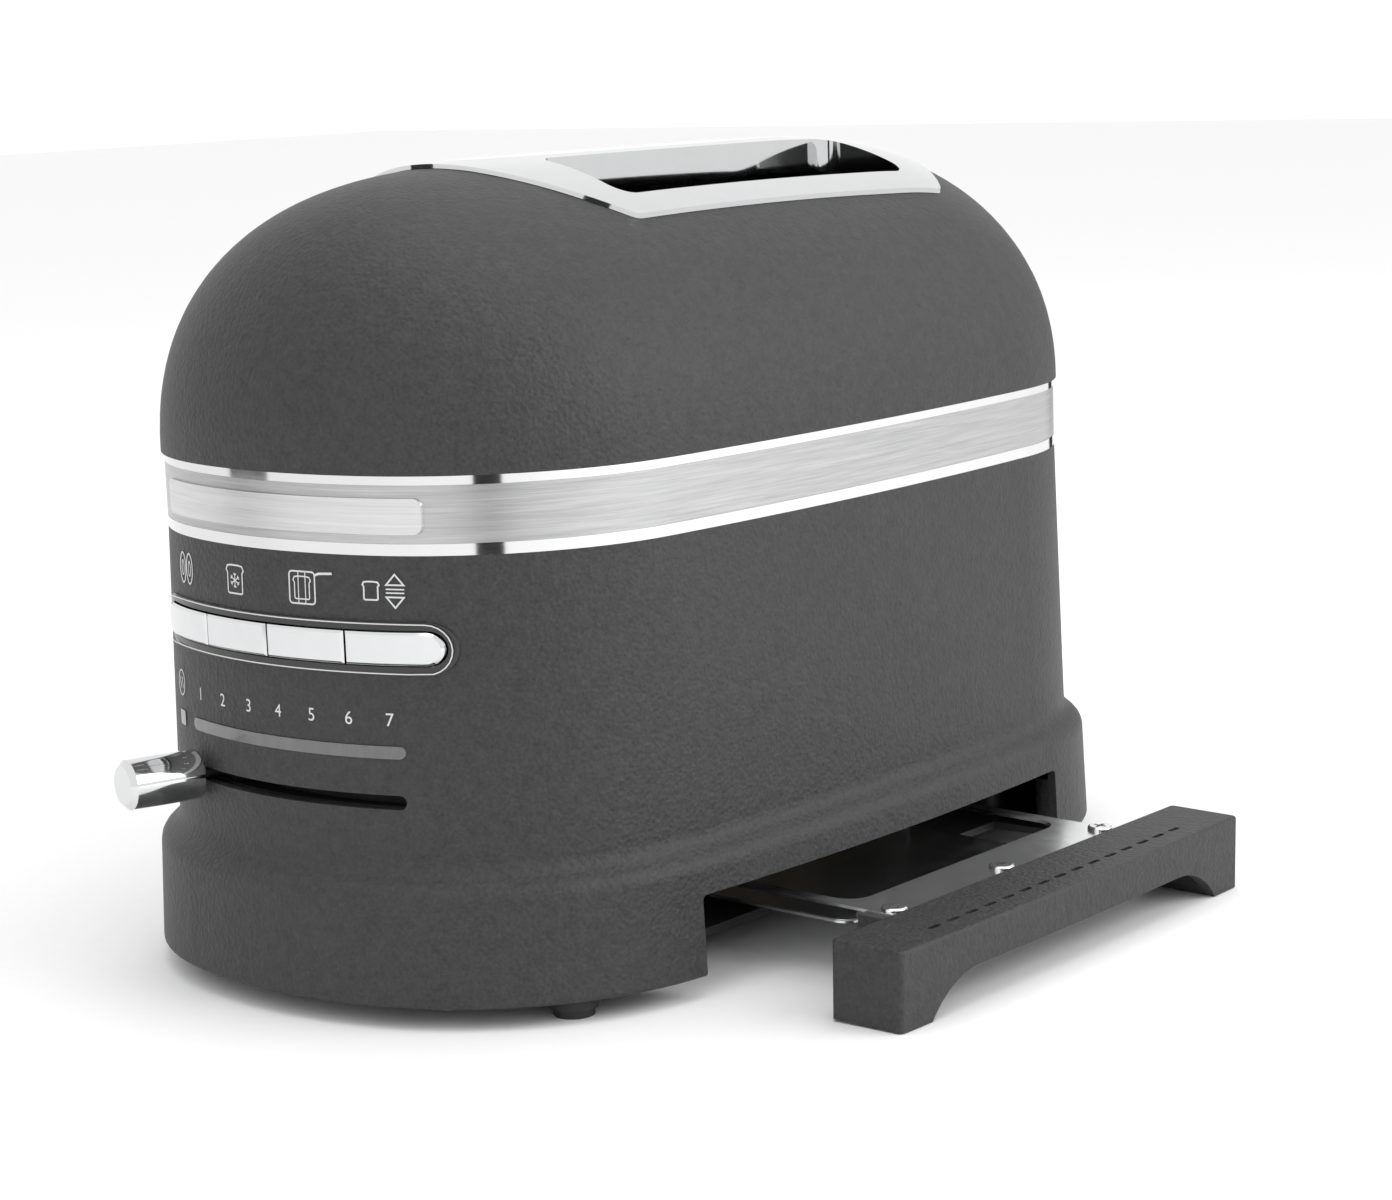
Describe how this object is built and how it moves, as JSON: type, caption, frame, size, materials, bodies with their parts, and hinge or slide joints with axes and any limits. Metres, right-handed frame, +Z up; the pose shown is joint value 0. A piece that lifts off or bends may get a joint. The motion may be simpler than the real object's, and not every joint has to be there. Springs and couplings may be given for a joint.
{
  "type": "pop-up toaster",
  "caption": "Pop-up toaster with a domed casing, long bread slots, push buttons, browning slider, motor-driven bread lift and a pull-out crumb tray.",
  "frame": {"origin": "middle of the footprint, on the worktop under the feet", "axes": "+Y from the front controls to the back, +X towards the side the crumb tray comes out of, +Z up"},
  "size_m": [0.2364, 0.3148, 0.2087],
  "materials": {
    "powder_coat": "fine-grained matt charcoal powder coat on die-cast metal",
    "polished_steel": "polished stainless steel",
    "brushed_band": "horizontally brushed stainless steel",
    "chrome": "bright chrome plate",
    "chrome_screw": "bright plated screw",
    "black_plastic": "moulded black plastic",
    "gloss_black": "dark gloss moulding",
    "rubber": "matt black rubber",
    "zinc_screw": "zinc-plated steel",
    "smoked_lens": "translucent grey lens",
    "nylon": "natural nylon",
    "sheet_steel": "bare sheet steel",
    "bright_sheet": "bright aluminised sheet",
    "mica": "mica board",
    "heater_ribbon": "resistance ribbon",
    "guide_wire": "plated steel wire",
    "brass": "brass",
    "motor_can": "plated steel can",
    "circuit_board": "green glass-fibre board",
    "lamp_body": "clear moulded lamp",
    "lamination": "stacked laminations"
  },
  "bodies": {
    "case": {"lower_shell": "powder_coat", "upper_shell": "powder_coat", "trim_ring": "polished_steel", "band_insert": "brushed_band", "nameplate": "polished_steel", "slot_plate": "chrome", "base_plate": "black_plastic", "feet": "rubber", "foot_screws": "zinc_screw", "base_screws": "zinc_screw", "shell_screws": "zinc_screw", "cord_gland": "rubber", "button_surround": "gloss_black", "light_lens": "smoked_lens", "warm_lens": "smoked_lens", "browning_track": "black_plastic", "tray_rails": "sheet_steel", "front_bulkhead": "sheet_steel", "rear_bulkhead": "sheet_steel", "deck": "sheet_steel", "deck_screws": "zinc_screw", "reflector_left": "bright_sheet", "reflector_right": "bright_sheet", "heater_boards": "mica", "heater_wires": "heater_ribbon", "guide_rods": "polished_steel", "lift_motor": "motor_can", "gear_plate": "sheet_steel", "gear_shaft": "polished_steel", "plate_posts": "zinc_screw", "control_board": "circuit_board", "board_spacers": "zinc_screw", "tact_switches": "black_plastic", "level_lamps": "lamp_body", "power_board": "circuit_board", "relay": "black_plastic", "transformer": "lamination", "terminal_block": "nylon"},
    "tray_glides": {"tray_glides": "nylon"},
    "tray": {"tray_bar": "powder_coat", "tray_pan": "chrome", "tray_screws": "chrome_screw"},
    "bagel_button": {"bagel_button": "chrome"},
    "frozen_button": {"frozen_button": "chrome"},
    "sandwich_button": {"sandwich_button": "chrome"},
    "lift_button": {"lift_button": "chrome"},
    "browning_slider": {"slider_arm": "black_plastic", "browning_knob": "chrome"},
    "carriage": {"lift_carriage": "black_plastic", "toothed_rack": "nylon", "bread_rack_left": "guide_wire", "bread_rack_right": "guide_wire"},
    "drive_gear": {"drive_gear": "nylon"},
    "motor_pinion": {"motor_pinion": "brass"},
    "guide_inner_left": {"guide_inner_left": "guide_wire"},
    "guide_outer_left": {"guide_outer_left": "guide_wire"},
    "guide_inner_right": {"guide_inner_right": "guide_wire"},
    "guide_outer_right": {"guide_outer_right": "guide_wire"}
  },
  "joints": [
    {"name": "tray_slide", "type": "slide", "parent": "case", "child": "tray_glides", "axis": [0.9997, 0, -0.0262], "range_m": [-0.0592, 0]},
    {"name": "tray_tip", "type": "hinge", "parent": "tray_glides", "child": "tray", "pos_m": [0.00218, 0, 0.02025], "axis": [0, -1, 0], "range_deg": [0, 1.38]},
    {"name": "bagel_press", "type": "slide", "parent": "case", "child": "bagel_button", "axis": [0, 1, 0], "range_m": [0, 0.0022], "stiffness_N_per_m": 400},
    {"name": "frozen_press", "type": "slide", "parent": "case", "child": "frozen_button", "axis": [0, 1, 0], "range_m": [0, 0.0022], "stiffness_N_per_m": 400},
    {"name": "sandwich_press", "type": "slide", "parent": "case", "child": "sandwich_button", "axis": [0, 1, 0], "range_m": [0, 0.0022], "stiffness_N_per_m": 400},
    {"name": "lift_press", "type": "slide", "parent": "case", "child": "lift_button", "axis": [0, 1, 0], "range_m": [0, 0.0022], "stiffness_N_per_m": 400},
    {"name": "browning_turn", "type": "hinge", "parent": "case", "child": "browning_slider", "pos_m": [0, -0.0325, 0.056], "axis": [0, 0, 1], "range_deg": [0, 35.09]},
    {"name": "lift_slide", "type": "slide", "parent": "case", "child": "carriage", "axis": [0, 0, 1], "range_m": [-0.066, 0]},
    {"name": "gear_turn", "type": "hinge", "parent": "case", "child": "drive_gear", "pos_m": [0.0201, -0.0775, 0.102], "axis": [0, 1, 0], "range_deg": [-271, 0]},
    {"name": "pinion_turn", "type": "hinge", "parent": "case", "child": "motor_pinion", "pos_m": [0.04331, -0.0823, 0.07435], "axis": [0, 1, 0], "range_deg": [0, 1081]},
    {"name": "guide_inner_left_close", "type": "slide", "parent": "case", "child": "guide_inner_left", "axis": [1, 0, 0], "range_m": [-0.005, 0]},
    {"name": "guide_outer_left_close", "type": "slide", "parent": "case", "child": "guide_outer_left", "axis": [1, 0, 0], "range_m": [0, 0.005]},
    {"name": "guide_inner_right_close", "type": "slide", "parent": "case", "child": "guide_inner_right", "axis": [1, 0, 0], "range_m": [0, 0.005]},
    {"name": "guide_outer_right_close", "type": "slide", "parent": "case", "child": "guide_outer_right", "axis": [1, 0, 0], "range_m": [-0.005, 0]}
  ],
  "couplings": [
    {"joint": "tray_tip", "follows": "tray_slide", "rad_per_m": -0.40685},
    {"joint": "gear_turn", "follows": "lift_slide", "rad_per_m": 71.429},
    {"joint": "pinion_turn", "follows": "lift_slide", "rad_per_m": -285.71},
    {"joint": "guide_inner_left_close", "follows": "lift_slide", "ratio": 0.075758},
    {"joint": "guide_outer_left_close", "follows": "lift_slide", "ratio": -0.075758},
    {"joint": "guide_inner_right_close", "follows": "lift_slide", "ratio": -0.075758},
    {"joint": "guide_outer_right_close", "follows": "lift_slide", "ratio": 0.075758}
  ]
}
